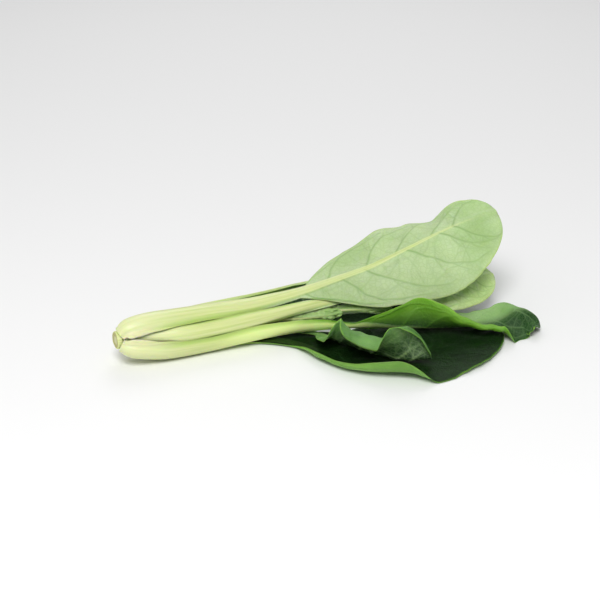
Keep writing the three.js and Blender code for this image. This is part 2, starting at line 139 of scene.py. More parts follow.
LEAVES = {
    "leaf_top": {
        "ring": "outer", "around": 74.6, "stalk": (10.6, 5.2), "blade_from": 0.38, "half": (27, 35),
        "rib": [
            (78, -2.8, 21.7, 67), (106, -4, 24.2, 69), (128, -5.5, 28.3, 70), (147, -8, 32.9, 69),
            (165, -10, 39.4, 67), (195, -12, 49.5, 66), (212, -12, 53, 65), (226, -11, 55, 64),
        ],
        "outline": [(0.5, 0.75, 2.6, 0.14), (0.68, 1.6, 1.8)],
        "bends": [
            (0.36, 2, 2, 8, 8), (0.5, 8, 12, 8, 6), (0.6, 6, 17, 6, 10), (0.7, 8, 17, 8, 12),
            (0.79, 17, 18, 19, 12), (0.86, 23, 14, 25, 14), (0.95, 6, 10, 8, 12), (1, 0, 5, 0, 10),
        ],
        "waves": [
            (UP, 1, 2.6, 0.1, 0, 1), (LOW, 1.4, 2.2, 0.6, 0.1, 1), (LOW, 0.6, 5, 0.2, 0.2, 1),
        ],
        "skin": "pale", "detail": "finest", "veins": 6, "pucker": 1.1, "crinkle": 0.6,
    },
    "leaf_middle": {
        "ring": "inner", "around": 18.2, "stalk": (7.8, 4.6), "blade_from": 0.47, "half": (27, 21),
        "rib": [
            (80, -11, 16.5, 24), (104, -11, 18, 30), (130, -11, 18.3, 42), (160, -13.5, 21, 54),
            (190, -17, 22, 66), (222, -18, 19, 68),
        ],
        "outline": [(0.6, 1.4, 2.1), (0.75, 4.5, 2.1)],
        "bends": [
            (0.47, 2, 2, 8, 8), (0.6, 14, -4, 10, -4), (0.72, 14, 2, 10, 6),
            (0.85, 12, 14, 10, 10), (1, 5, 5, 5, 5),
        ],
        "waves": [(UP, 1.2, 2.1, 0.1, 0, 1), (LOW, 1.4, 2.7, 0.5, 0, 1)],
        "skin": "middle", "detail": "fine", "veins": 8, "pucker": 1, "crinkle": 1.4,
    },
    "leaf_low": {
        "ring": "outer", "around": -36, "stalk": (10.3, 5.2), "blade_from": 0.45, "half": (18, 17),
        "rib": [
            (78, -11.8, 8, -28), (106, -18, 9.1, -27), (130, -30, 9.6, -48), (150, -38.5, 8.2, -74),
            (172, -45, 6.8, -88), (190, -50, 6.4, -90), (205, -53, 8, -92),
            (214, -54, 11.6, -92, 10), (221, -55, 10.8, -92, 35), (226, -57, 6.4, -92, 70),
            (227, -59, 1.2, -92, 95),
        ],
        "outline": [(0.55, 1.9, 12), (0.8, 1.5, 5)],
        "bends": [
            (0.45, 4, 4, 8, 8), (0.57, 42, 0, 24, 0, -30, 0), (0.63, 54, 0, 22, 4, -40, 0),
            (0.675, 66, 0, 20, 4, -30, 0), (0.725, 46, 4, 30, 6, 20, 0),
            (0.775, 24, 8, 30, 10, 80, 0), (0.83, 6, 0, 20, 0, 130, 0),
            (0.86, -4, -4, 10, -4, 110, 0), (0.885, -28, -4, -24, -6, 0, 0),
            (0.94, -34, -4, -24, -8, 0, 0), (1, -34, -4, -10, -8, 0, 0),
        ],
        "waves": [(UP, 4, 1.85, 0.53, 0.05, 0.95), (LOW, 1.6, 2.5, 0.3, 0.1, 1)],
        "skin": "dark", "detail": "fine", "veins": 8, "pucker": 0.6, "crinkle": 0.6,
    },
    "leaf_floor": {
        "ring": "inner", "around": -92, "stalk": (9.8, 4.8), "blade_from": 0.38, "half": (38, 41),
        "rib": [
            (74, -4, 1.6, -92), (90, -15, 1.8, -92), (107, -39, 1.8, -92), (128, -53, 1.6, -92),
            (160, -57, 1.8, -90), (181, -55, 2.2, -90), (203, -51, 2.6, -88),
        ],
        "outline": [(0.57, 2.2, 1.15), (0.74, 0.5, 3.4)],
        "bends": [
            (0.38, 0, 0, 4, 0), (0.5, 2, -1, 4, 0, 85, 0), (0.67, 2, 0, 4, 0, 80, 0),
            (0.74, 0, 0, 0, 0, 0, 0), (1, 0, 0, 0, 0),
        ],
        "waves": [(UP, 1.5, 3.6, 0.55, 0.02, 0.85), (LOW, 1.2, 2.6, 0.3, 0.2, 1)],
        "skin": "shade", "detail": "fine", "veins": 8, "pucker": 0.6, "crinkle": 0.6,
    },
    "leaf_back_low": {
        "ring": "outer", "around": -152, "stalk": (10.4, 5.2), "blade_from": 0.42, "half": (42, 18),
        "rib": [
            (78, 12, 6.2, -144), (106, 19, 4, -118), (140, 26, 2.4, -98), (180, 34, 1.6, -92),
            (222, 39, 3, -92),
        ],
        "outline": [(0.55, 0.7, 2.2), (0.5, 0.5, 2.2)],
        "bends": [(0.45, 0, 0, 4, 4), (0.7, 2, 6, 8, 0), (1, 0, 0, 0, 0)],
        "waves": [(UP, 2, 2.4, 0.6, 0, 1), (LOW, 1.6, 2.3, 0.3, 0, 1)],
        "skin": "dark", "detail": "fine", "veins": 8, "pucker": 0.5, "crinkle": 0.3,
    },
    "leaf_back_top": {
        "ring": "inner", "around": 136, "stalk": (9.8, 5), "blade_from": 0.44, "half": (20, 26),
        "rib": [
            (80, 10, 18.8, 140), (106, 16, 18, 132), (140, 24, 16.5, 118), (180, 29, 18.5, 112),
            (216, 32, 21, 108), (246, 33, 23, 106),
        ],
        "outline": [(0.6, 1.4, 2.2), (0.6, 1.4, 2.2)],
        "bends": [(0.45, 0, 0, 4, 4), (0.7, 4, 16, 8, 8), (1, 4, 10, 0, 0)],
        "waves": [(UP, 1.6, 2.4, 0.6, 0, 1), (LOW, 1.8, 2.1, 0.3, 0, 1)],
        "skin": "middle", "detail": "fine", "veins": 8, "pucker": 0.5, "crinkle": 0.3,
    },
    "leaf_curled": {
        "ring": "heart", "around": -98, "stalk": (4.6, 2.6), "blade_from": 0.59, "half": (28, 9),
        "rib": [
            (74, -1, 7, -94), (91, -5, 5, -92), (108, -16, 3.7, -92), (118, -37, 3.9, -92),
            (126, -57, 4.4, -92), (136, -69, 4.4, -90), (147, -75.5, 5.8, -88),
        ],
        "outline": [(0.62, 0.8, 3.2), (0.5, 1.2, 3)],
        "bends": [
            (0.59, 0, 0, 10, 10), (0.7, 42, 8, -10, 5, -60, 0), (0.75, 58, 8, 10, 5, 0, 0),
            (0.805, 85, 8, -60, 5, -120, 0), (0.865, 88, 8, -60, 5, -130, 0),
            (0.895, 80, 8, -20, 5, -20, 0), (0.94, 108, 8, -20, 5, -120, 0),
            (0.975, 108, 5, -20, 5, -130, 0), (1, 90, 5, -20, 5, -150, 0),
        ],
        "waves": [(UP, 1.5, 2.6, 0, 0.02, 1), (LOW, 1, 2.3, 0.5, 0.05, 1)],
        "skin": "cup", "detail": "small", "veins": 6, "pucker": 1, "crinkle": 1.1,
    },
    "heart_front": {
        **HEART, "around": 10, "half": (7, 7), "crinkle": 2.2,
        "rib": [
            (66, -5.5, 11.6, 5), (80, -7, 11.2, 5), (92, -8.8, 11.8, 5), (104, -12.4, 11.9, 5),
            (114, -16.4, 12.7, 5), (124, -19, 13.8, 5),
        ],
    },
    "heart_back": {
        **HEART, "around": 140, "half": (8, 8), "crinkle": 1.6,
        "rib": [
            (74, 3, 15, 100), (98, -2, 13.2, 60), (116, -8.5, 12.4, 30), (130, -16, 13.4, 15),
            (142, -20.5, 13.2, 5), (153, -23, 12, 0),
        ],
    },
}

# ------------------------------------------------------------
# Sizes of the fine surface
# ------------------------------------------------------------

# Rows along the stalk, rows along the blade, points across half a rib and across half a blade.
GRIDS = {"finest": (60, 220, 8, 62), "fine": (50, 190, 7, 46), "small": (50, 120, 5, 28)}
SIDE_SPACING = 0.94       # under 1 sets the points closer near the edge
BLADE_HALF = 0.24         # half thickness of a blade
EDGE_HALF = 0.05          # half thickness at its edge
EDGE_FROM = 0.9           # share of a half blade where it starts to thin
INNER_LEAST = 0.02        # least half thickness under a vein
EDGE_WOBBLE = 0.02        # unevenness of the outline as a share of the half blade
WOBBLE_CELL = 7           # length of that unevenness
STALK_PLUMP = 1.15        # how much wider a stalk is than its solid, so that stalks touch
FULL_SIZE = 20            # half blade from which veins and wrinkles have their full size
RELIEF_RISE = 12          # how quickly veins and blisters rise along the blade

# Side veins: they leave the rib, arch forward and run along the edge.
VEIN_STEP = 1.0           # length of a step along a vein
VEIN_WIDE = (0.6, 0.34)   # half width at the rib and at the end
VEIN_HIGH = (0.46, 0.2)   # height on the outer face
VEIN_DIP = 0.5            # how much of it dents the inner face
VEIN_FADE = 10            # how quickly veins come up from the edge
VEIN_FIRST = 0.02         # where the first one starts along the blade
VEIN_SPAN = 0.9           # part of the blade that they start on
VEIN_SPREAD = 0.9         # under 1 sets them closer near the tip
VEIN_JITTER = 0.6         # how unevenly they start
VEIN_LEAN = (58, 16, 5)   # degrees from the rib, how many fewer near the tip, unevenness
VEIN_REACH = (0.84, 0.92)  # how far out they run, as a share of the half blade
VEIN_ARCH = 2.5           # how late they bend to follow the edge
VEIN_DRIFT = (0.85, 0.13)  # share of a turn kept from step to step, new turn in radians
VEIN_LONG = 0.3           # longest run as a share of the blade
VEIN_END = 0.985          # where the last one has to end
CUT_SKIP = 3              # steps before a vein may meet the next one

# Branches of a side vein, and small veins that link two of them.
FORK_WIDE = (0.4, 0.24)
FORK_HIGH = (0.3, 0.1)
FORK_PLACES = [(0.2, 0.35), (0.45, 0.6)]
FORK_LEAN = (26, 44)      # degrees from the side vein
FORK_TURN = (-0.2, 0.1)   # least and most turn of a step, in radians
FORK_REACH = 0.9          # share of the half blade where they stop
FORK_STEPS = 22           # most points of a branch
LINK_WIDE = (0.34, 0.34)
LINK_HIGH = (0.1, 0.1)
LINK_PLACES = np.arange(0.12, 0.9, 0.13)
LINK_JITTER = 0.04        # how unevenly they start
LINK_LEAN = (60, 105)
LINK_TURN = 0.25
LINK_MEET = 0.7           # steps from the next vein at which it is met
LINK_STEPS = 40
LINK_TINT = 0.45          # strength of their colour beside a side vein's

# Blisters and wrinkles between the veins.
PUCKER_WIDE = 4.5         # how far from a vein a blister is at full height
PUCKER_FADE = 6           # how quickly blisters come up from the edge
RELIEF_FREE = 4           # distance from the rib over which both come up
WRINKLES = [(9, 0.6), (4.5, 0.4)]   # width of the wrinkles and their share of the height
SMOOTH_FROM = 0.7         # share of a half blade where the wrinkles start to fade
SMOOTH_EDGE = 0.5         # how much of them is gone at the edge

# Where the stalk's pale colour ends.
RIB_PALE = 0.62           # share of the rib's half width that has its full colour
RIB_BLUR = 0.45           # and over which it fades
MIDRIB_PALE = 0.6         # place along the blade where the rib's colour starts to fade
WING_PALE = 0.86          # share of the stalk's length up to which its wings are pale
WING_BLUR = 0.2
ACROSS_MOST = 2           # largest value of "across", which is 1 at the rib's edge


def smoothstep(t):
    """Ease from 0 to 1."""
    t = np.clip(t, 0, 1)
    return t * t * (3 - 2 * t)


def mix(a, b, t):
    """Blend of a and b."""
    return a + (b - a) * t


def eased(keys, place, column=1):
    """Values of a column at each place in [(place, value, ...)], eased from key to key."""
    at = np.array([key[0] for key in keys], float)
    values = np.array([key[column] if column < len(key) else 0 for key in keys], float)
    if len(keys) == 1:
        return np.full(place.shape, values[0])
    i = np.clip(np.searchsorted(at, place) - 1, 0, len(keys) - 2)
    return mix(values[i], values[i + 1], smoothstep((place - at[i]) / (at[i + 1] - at[i])))


def lattice_noise(x, y, cell, rng):
    """Smooth random heights from -1 to 1 over the plane, with hills about a cell wide."""
    u = (x - x.min()) / cell
    v = (y - y.min()) / cell
    grid = rng.uniform(-1, 1, (int(u.max()) + 2, int(v.max()) + 2))
    i = u.astype(int)
    j = v.astype(int)
    s = smoothstep(u - i)
    t = smoothstep(v - j)
    near = mix(grid[i, j], grid[i + 1, j], s)
    far = mix(grid[i, j + 1], grid[i + 1, j + 1], s)
    return mix(near, far, t)


# ------------------------------------------------------------
# Ribs
# ------------------------------------------------------------

def axis_height(x):
    """Height of the bundle's axis at a distance from the cut face."""
    return mix(CUT_HEIGHT, AXIS_HEIGHT, smoothstep(x / AXIS_LEVEL))


def rib_points(leaf):
    """Points of a rib as rows of x, y, z, roll, lean: those on the ring, then the leaf's own."""
    angle = math.radians(leaf["around"])
    ring = [
        (x, -r * math.cos(angle), axis_height(x) + r * math.sin(angle), leaf["around"], 0)
        for x, r in RINGS[leaf["ring"]]["start"]
    ]
    own = [tuple(point) + (0,) * (5 - len(point)) for point in leaf["rib"]]
    return np.array(ring + own, float)


def curve_at(points, t):
    """Points of the centripetal Catmull-Rom curve at t from 0 to 1."""
    ends = np.vstack([2 * points[0] - points[1], points, 2 * points[-1] - points[-2]])
    place = np.clip(t, 0, 1) * (len(points) - 1)
    i = np.minimum(place.astype(int), len(points) - 2)
    w = (place - i)[:, None]
    p0, p1, p2, p3 = (ends[i + k] for k in range(4))
    d0, d1, d2 = (
        np.sum((b - a) ** 2, axis=1)[:, None] ** 0.25 for a, b in ((p0, p1), (p1, p2), (p2, p3))
    )
    out1 = ((p1 - p0) / d0 - (p2 - p0) / (d0 + d1) + (p2 - p1) / d1) * d1
    out2 = ((p2 - p1) / d1 - (p3 - p1) / (d1 + d2) + (p3 - p2) / d2) * d1
    square = 3 * (p2 - p1) - 2 * out1 - out2
    cube = 2 * (p1 - p2) + out1 + out2
    return p1 + out1 * w + square * w ** 2 + cube * w ** 3


def unit(vectors):
    """Vectors at length 1."""
    return vectors / np.linalg.norm(vectors, axis=-1, keepdims=True)


def rib_frames(leaf, place):
    """Point, outer normal and sideways direction of the rib at each place, and its length."""
    points = rib_points(leaf)
    samples = np.linspace(0, 1, CURVE_STEPS + 1)
    steps = np.linalg.norm(np.diff(curve_at(points[:, :3], samples), axis=0), axis=1)
    lengths = np.concatenate([[0], np.cumsum(steps)])
    t = np.interp(place * lengths[-1], lengths, samples)
    near = 0.0001
    along = unit(curve_at(points[:, :3], t + near) - curve_at(points[:, :3], t - near))
    turns = [(i / (len(points) - 1), p[3], p[4]) for i, p in enumerate(points)]
    roll = np.radians(eased(turns, t, 1))
    lean = np.radians(eased(turns, t, 2))
    outward = np.stack(
        [-np.sin(lean), -np.cos(roll) * np.cos(lean), np.sin(roll) * np.cos(lean)], axis=1
    )
    outward = unit(outward - np.sum(outward * along, axis=1)[:, None] * along)
    return curve_at(points[:, :3], t), outward, np.cross(along, outward), lengths[-1]


# ------------------------------------------------------------
# Veins, in the plane of a half blade: x runs along the rib, y away from it
# ------------------------------------------------------------

def side_veins(width_at, length, count, rng):
    """Side veins that leave the rib, arch forward and run along the edge to the next one."""
    spread = ((np.arange(count) + rng.uniform(0, VEIN_JITTER, count)) / count) ** VEIN_SPREAD
    steep, flatter, uneven = VEIN_LEAN
    kept, turn = VEIN_DRIFT
    paths = []
    for start in length * (VEIN_FIRST + VEIN_SPAN * spread):
        lean = math.radians(steep - flatter * start / length + rng.uniform(-uneven, uneven))
        reach = rng.uniform(*VEIN_REACH)
        x, y, drift = start, 0.0, 0.0
        path = [(x, y)]
        while x < min(start + length * VEIN_LONG, length * VEIN_END):
            slope = math.atan2(width_at(x + 1) - width_at(x - 1), 2)
            arch = min(y / max(width_at(x) * reach, 0.1), 1) ** VEIN_ARCH
            drift = kept * drift + rng.uniform(-turn, turn)
            angle = mix(lean, slope, arch) + drift
            x += VEIN_STEP * math.cos(angle)
            y = min(y + VEIN_STEP * math.sin(angle), max(width_at(x) * reach, 0))
            path.append((x, y))
        paths.append(np.array(path))
    for i in range(count - 1):
        paths[i] = cut_at(paths[i], paths[i + 1])
    return paths


def cut_at(path, other):
    """The part of a path up to where it meets another."""
    apart = np.linalg.norm(path[:, None] - other[None], axis=2).min(axis=1)
    met = np.nonzero(apart[CUT_SKIP:] < VEIN_STEP)[0]
    return path[:met[0] + CUT_SKIP + 1] if len(met) else path


def forks(paths, width_at, rng):
    """Branches that leave the outer side of each side vein and run out towards the edge."""
    branches = []
    for path in paths:
        for share in [rng.uniform(*span) for span in FORK_PLACES]:
            i = int(share * (len(path) - 1))
            ahead = path[i + 1] - path[i]
            angle = math.atan2(ahead[1], ahead[0]) + math.radians(rng.uniform(*FORK_LEAN))
            spot = path[i].copy()
            branch = [spot.copy()]
            while len(branch) < FORK_STEPS and spot[1] < FORK_REACH * width_at(spot[0]):
                angle += rng.uniform(*FORK_TURN)
                spot += VEIN_STEP * np.array([math.cos(angle), math.sin(angle)])
                branch.append(spot.copy())
            branches.append(np.array(branch))
    return branches


def link_veins(paths, rng):
    """Small veins that run from each side vein to the next one."""
    links = []
    for path, other in zip(paths, paths[1:]):
        for share in LINK_PLACES:
            i = int((share + rng.uniform(-LINK_JITTER, LINK_JITTER)) * (len(path) - 1))
            ahead = path[min(i + 1, len(path) - 1)] - path[i - 1]
            angle = math.atan2(ahead[1], ahead[0]) - math.radians(rng.uniform(*LINK_LEAN))
            spot = path[i].copy()
            link = [spot.copy()]
            while len(link) < LINK_STEPS and spot[1] > 0:
                angle += rng.uniform(-LINK_TURN, LINK_TURN)
                spot += VEIN_STEP * np.array([math.cos(angle), math.sin(angle)])
                link.append(spot.copy())
                if np.linalg.norm(other - spot, axis=1).min() < VEIN_STEP * LINK_MEET:
                    break
            links.append(np.array(link))
    return links


def segments(paths, wide, high, size):
    """Rows of x, y, next x, next y, half width, height for paths that thin out to their ends."""
    rows = []
    for path in paths:
        share = np.linspace(0, 1, len(path) - 1)[:, None]
        rows.append(np.hstack([
            path[:-1], path[1:], mix(*wide, share) * size, mix(*high, share) * size,
        ]))
    return np.vstack(rows)


def vein_heights(x, y, rows):
    """Height of the veins at each point, and the distance to the nearest one."""
    spots = np.stack([x.ravel(), y.ravel()], axis=1)
    height = np.zeros(len(spots))
    nearest = np.full(len(spots), np.inf)
    margin = PUCKER_WIDE * 2
    for x0, y0, x1, y1, wide, high in rows:
        inside = np.nonzero(
            (np.abs(spots[:, 0] - x0) < margin) & (np.abs(spots[:, 1] - y0) < margin)
        )[0]
        offset = spots[inside] - (x0, y0)
        step = np.array([x1 - x0, y1 - y0])
        share = np.clip(offset @ step / (step @ step), 0, 1)
        apart = np.linalg.norm(offset - share[:, None] * step, axis=1)
        height[inside] = np.maximum(height[inside], high * np.exp(-(apart / wide) ** 2))
        nearest[inside] = np.minimum(nearest[inside], apart)
    return height.reshape(x.shape), nearest.reshape(x.shape)


# ------------------------------------------------------------
# Leaves
# ------------------------------------------------------------

def blade_share(outline, t):
    """Half blade width as a share of its widest, t runs along the blade."""
    widest, growth, tip_round, start = outline if len(outline) == 4 else (*outline, 0)
    t = np.clip((t - start) / (1 - start), 0, 1)
    grown = np.sin(np.pi / 2 * np.minimum(t / widest, 1)) ** growth
    closed = np.sqrt(np.maximum(0, 1 - (np.maximum(t - widest, 0) / (1 - widest)) ** tip_round))
    return np.where(t < widest, grown, closed)


def rested(z, lowest):
    """Heights eased onto the lowest that they can have."""
    above = z - lowest
    soft = lowest + (above + FLOOR_SOFT) ** 2 / (4 * FLOOR_SOFT)
    return np.where(above <= -FLOOR_SOFT, lowest, np.where(above >= FLOOR_SOFT, z, soft))


def half_section(leaf, side, place, share, width):
    """How far out and how far in each share of the half width lies, row by row."""
    keys = RINGS[leaf["ring"]]["wrap"] + leaf["bends"]
    fold, curl, hook = (
        np.radians(eased(keys, place, column + side))[:, None] for column in (1, 3, 5)
    )
    middles = (np.arange(ARC_STEPS) + 0.5) / ARC_STEPS
    turn = (
        fold * np.minimum(middles / FOLD_ZONE, 1)
        + curl * middles
        + hook * np.maximum((middles - HOOK_FROM) / (1 - HOOK_FROM), 0)
    )
    start = np.zeros((len(place), 1))
    step = share * ARC_STEPS
    i = np.minimum(step.astype(int), ARC_STEPS - 1)
    row = np.arange(len(place))[:, None]
    ways = []
    for part in (np.cos(turn), np.sin(turn)):
        way = np.hstack([start, np.cumsum(part, axis=1)]) * width[:, None] / ARC_STEPS
        ways.append(mix(way[row, i], way[row, i + 1], step - i))
    return ways


def wave_height(leaf, side, along, share):
    """Height of the waves at the edge of the blade."""
    height = np.zeros(share.shape)
    reach = np.clip((share - RUFFLE_FROM) / (1 - RUFFLE_FROM), 0, 1) ** RUFFLE_GROWTH
    for wave_side, size, count, phase, start, end in leaf["waves"]:
        if wave_side == side:
            inside = np.clip((along - start) / (end - start), 0, 1)
            window = np.sin(np.pi * inside) ** RUFFLE_ENDS
            wave = np.sin(2 * np.pi * (count * along + phase))
            height += (size * window * wave)[:, None] * reach
    return height


def vein_relief(leaf, side, x, distance, blade_length, small, rng):
    """Heights of the side veins and of the small veins, and how far the nearest side vein is."""
    def width_at(at):
        share = blade_share(leaf["outline"][side], np.array(at / blade_length))
        return float(leaf["half"][side] * share)

    arches = side_veins(width_at, blade_length, leaf["veins"], rng)
    links = link_veins(arches, rng)
    branches = forks(arches, width_at, rng)
    main = np.vstack([
        segments(arches, VEIN_WIDE, VEIN_HIGH, small),
        segments(branches, FORK_WIDE, FORK_HIGH, small),
    ])
    side_high, apart = vein_heights(x, distance, main)
    link_high, _ = vein_heights(x, distance, segments(links, LINK_WIDE, LINK_HIGH, 1))
    return side_high, link_high, apart


def half_leaf(leaf, side, place, length, rng):
    """One half of the leaf: everything that its middle surface and its faces need, row by row."""
    ring = RINGS[leaf["ring"]]
    blade_from = leaf["blade_from"]
    _, _, rib_steps, side_steps = GRIDS[leaf["detail"]]
    stalk_place = np.clip(place / blade_from, 0, 1)
    along = np.clip((place - blade_from) / (1 - blade_from), 0, 1)
    taper = np.interp(along, *np.transpose(RIB_TAPER))
    full_wide, full_thick = leaf["stalk"]
    rib_wide = full_wide / 2 * eased(ring["widths"], stalk_place) * taper * STALK_PLUMP
    rib_thick = (full_thick / 2 * eased(ring["thicks"], stalk_place) * taper)[:, None]
    blade_length = length * (1 - blade_from)
    uneven = lattice_noise(along * blade_length, np.zeros(along.shape), WOBBLE_CELL, rng)
    blade = leaf["half"][side] * blade_share(leaf["outline"][side], along)
    blade = blade * (1 - np.abs(uneven * EDGE_WOBBLE))
    width = np.maximum(blade, rib_wide + eased(ring["sheath"], place))

    in_rib = np.linspace(0, 1, rib_steps + 1)[None, :] * rib_wide[:, None]
    beyond = np.linspace(0, 1, side_steps + 1)[None, 1:] ** SIDE_SPACING
    distance = np.hstack([in_rib, mix(rib_wide[:, None], width[:, None], beyond)])
    share = distance / width[:, None]
    from_rib = distance / rib_wide[:, None]
    out, inward = half_section(leaf, side, place, share, width)

    x = ((place - blade_from) * length)[:, None] + np.zeros(distance.shape)
    small = min(1, leaf["half"][side] / FULL_SIZE)
    side_high, link_high, apart = vein_relief(leaf, side, x, distance, blade_length, small, rng)
    on_blade = smoothstep(along * RELIEF_RISE)[:, None]
    free = smoothstep((distance - rib_wide[:, None]) / (RELIEF_FREE * small))
    blister = (1 - np.exp(-(apart / PUCKER_WIDE) ** 2)) * smoothstep((1 - share) * PUCKER_FADE)
    wrinkle = sum(part * lattice_noise(x, distance, cell * small, rng) for cell, part in WRINKLES)
    wrinkle *= 1 - SMOOTH_EDGE * smoothstep((share - SMOOTH_FROM) / (1 - SMOOTH_FROM))
    relief = (leaf["pucker"] * blister + leaf["crinkle"] * wrinkle) * free * on_blade

    bump = np.sqrt(np.maximum(0, 1 - from_rib ** 2))
    thin = mix(BLADE_HALF, EDGE_HALF, smoothstep((share - EDGE_FROM) / (1 - EDGE_FROM)))
    veins = np.maximum(side_high, link_high) * on_blade * smoothstep((1 - share) * VEIN_FADE)
    outer = thin + np.maximum(rib_thick * ROUND_OUT - thin, 0) * bump
    inner_fade = np.clip(1 - along / INNER_RIB_TO, 0, 1)[:, None]
    inner = thin + np.maximum(rib_thick * ROUND_IN - thin, 0) * bump * inner_fade
    pale_wing = 1 - smoothstep((place / blade_from - WING_PALE) / WING_BLUR)[:, None]
    pale_rib = 1 - smoothstep((from_rib - RIB_PALE) / RIB_BLUR)
    pale_rib = pale_rib * (1 - smoothstep((along - MIDRIB_PALE) / (1 - MIDRIB_PALE)))[:, None]
    vein_tint = np.maximum(side_high / VEIN_HIGH[0], link_high / LINK_HIGH[0] * LINK_TINT)
    return {
        "out": out,
        "rise": inward + wave_height(leaf, side, along, share) + relief,
        "outer": np.maximum(outer, thin + veins),
        "inner": np.maximum(inner - veins * VEIN_DIP, INNER_LEAST),
        "x": x,
        "y": distance,
        "share": share,
        "across": np.minimum(from_rib, ACROSS_MOST),
        "stalk": np.maximum(pale_rib, pale_wing),
        "vein": vein_tint * on_blade,
    }


def leaf_places(leaf):
    """Places along the leaf, 0 at the base and 1 at the tip, closer together at both ends."""
    stalk_rows, blade_rows, _, _ = GRIDS[leaf["detail"]]
    t = np.arange(stalk_rows) / stalk_rows
    stalk = leaf["blade_from"] * (t - STALK_SPACING * np.sin(2 * np.pi * t))
    t = np.arange(blade_rows + 1) / blade_rows
    blade = leaf["blade_from"] + (1 - leaf["blade_from"]) * (1 - (1 - t) ** TIP_SPACING)
    return np.concatenate([stalk, blade])


def leaf_shell(leaf, rng):
    """Vertices, faces and point values of a leaf as one closed shell."""
    place = leaf_places(leaf)
    point, outward, sideways, length = rib_frames(leaf, place)
    halves = [half_leaf(leaf, side, place, length, rng) for side in (UP, LOW)]
    both = {
        key: np.hstack([halves[UP][key][:, ::-1], halves[LOW][key][:, 1:]]) for key in halves[UP]
    }
    middle_column = halves[UP]["out"].shape[1] - 1
    both["out"][:, :middle_column] *= -1
    both["y"][:, :middle_column] *= -1
    middle = (
        point[:, None]
        + sideways[:, None] * both["out"][..., None]
        - outward[:, None] * both["rise"][..., None]
    )
    middle[..., 2] = rested(middle[..., 2], np.maximum(both["outer"] - FLOOR_SINK, BLADE_HALF))
    along = np.gradient(middle, axis=0)
    across = np.gradient(middle, axis=1)
    normal = unit(np.cross(across, along))
    inside = middle - normal * both["inner"][..., None]
    outside = middle + normal * both["outer"][..., None]
    vertices = np.concatenate([inside.reshape(-1, 3), outside.reshape(-1, 3)])
    vertices[:, 2] = np.maximum(vertices[:, 2], 0)
    values = {
        key: np.tile(both[key].ravel(), 2)
        for key in ("x", "y", "share", "across", "stalk", "vein")
    }
    values["inner"] = np.repeat([1.0, 0.0], place.size * middle.shape[1])
    values["from_base"] = np.tile(np.repeat(place * length, middle.shape[1]), 2)
    return vertices, shell_faces(*middle.shape[:2]), values


def shell_faces(rows, columns):
    """Faces of a shell between two grids of vertices, the inner one first."""
    size = rows * columns
    index = np.arange(size).reshape(rows, columns)
    a, b, c, d = index[:-1, :-1], index[1:, :-1], index[1:, 1:], index[:-1, 1:]
    inner = np.stack([a, b, c, d], axis=-1).reshape(-1, 4)
    outer = np.stack([a, d, c, b], axis=-1).reshape(-1, 4) + size

    def wall(run):
        start, end = run[:-1], run[1:]
        return np.stack([start, start + size, end + size, end], axis=-1)

    walls = [wall(index[:, 0]), wall(index[::-1, -1]), wall(index[0, ::-1]), wall(index[-1])]
    return np.concatenate([inner, outer, *walls]).tolist()


# ------------------------------------------------------------
# To Blender
# ------------------------------------------------------------

stem_low, stem_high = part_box("stem_base")
HEAD_ORIGIN = np.array([stem_low[0], (stem_low[1] + stem_high[1]) / 2, 0])
MM = 0.001


def make_piece(name, node, slot, vertices, faces, values, material):
    """A smooth mesh with point values that stands for a CAD node, kept inside the CAD box."""
    mesh = bpy.data.meshes.new(name)
    placed = np.clip(vertices * MM + HEAD_ORIGIN, *CAD_BOX)
    mesh.from_pydata(placed.tolist(), [], faces)
    for key, numbers in values.items():
        mesh.attributes.new(key, "FLOAT", "POINT").data.foreach_set("value", numbers)
    mesh.shade_smooth()
    mesh.materials.append(material)
    piece = bpy.data.objects.new(name, mesh)
    bpy.context.scene.collection.objects.link(piece)
    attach(piece, "root")
    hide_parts(node)


# ------------------------------------------------------------
# Cut stem
# ------------------------------------------------------------

STEM_PROFILE = [(0, 4.6), (0.5, 5), (2.6, 4.9), (3.9, 3), (6.3, 2.3), (8.3, 0.5)]
STEM_SIDES = 160
STEM_RINGS = 48           # rings of points on the cut face
STEM_STEPS = 70           # rings of points along the side
STEM_HUB = 0.02           # radius of the innermost ring as a share of the cut face's
CUT_DISH = 0.25           # how far the middle of the cut face has dried in
RIND_LIP = 0.12           # ridge of the rind round it
LIP_AT = (0.9, 0.05)      # where that is and how wide, as shares of the cut face's radius
CUT_UNEVEN = 0.08         # height of the bumps on the cut face
BUMP_CELL = 1.1           # width of the bumps
SIDE_UNEVEN = 0.01        # bumps of the side as a share of its radius
OUT_OF_ROUND = 0.03       # how far the stem is from round, as a share of its radius


